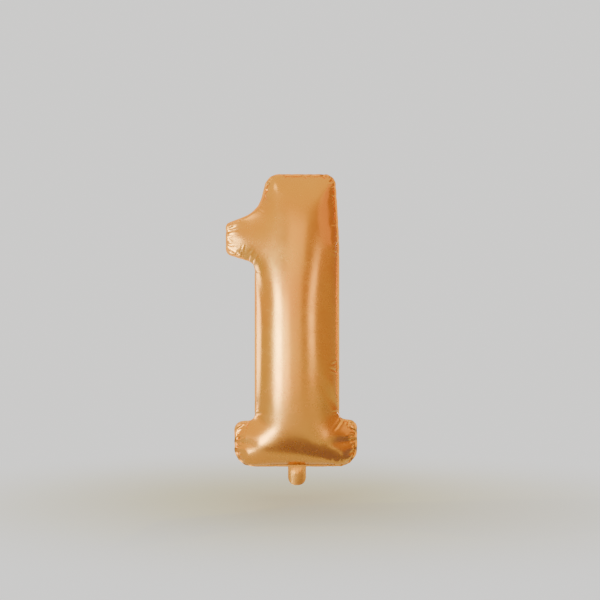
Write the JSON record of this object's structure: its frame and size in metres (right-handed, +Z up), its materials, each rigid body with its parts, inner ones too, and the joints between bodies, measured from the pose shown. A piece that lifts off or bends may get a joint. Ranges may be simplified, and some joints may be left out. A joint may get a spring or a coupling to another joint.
{
  "type": "foil number balloon",
  "caption": "Tall inflated foil balloon in the shape of the figure one, with a welded rim, a self-sealing valve and a folding filling tail.",
  "frame": {"origin": "the neck: the middle of the tail, in the seam plane, on the foot's lower edge", "axes": "+Z up the figure to its crown, -Y towards the viewer of its front, +X to the right seen from the front"},
  "size_m": [0.432, 0.1896, 1.02],
  "materials": {
    "gold_foil": "satin metallised film",
    "gold_foil_back": "satin metallised film",
    "sealant": "clear sealant between metallised films",
    "clear_film": "clear plastic film"
  },
  "bodies": {
    "balloon": {"front_panel": "gold_foil", "back_panel": "gold_foil_back", "perimeter_weld": "sealant", "valve_front_film": "clear_film", "valve_back_film": "clear_film"},
    "tail": {"tail_front_film": "gold_foil", "tail_back_film": "gold_foil_back", "tail_side_welds": "sealant", "valve_front_inlet": "clear_film", "valve_back_inlet": "clear_film"}
  },
  "joints": [
    {"name": "tail_fold", "type": "hinge", "parent": "balloon", "child": "tail", "pos_m": [0, 0, -0.00065], "axis": [1, 0, 0], "range_deg": [-90, 90]}
  ]
}
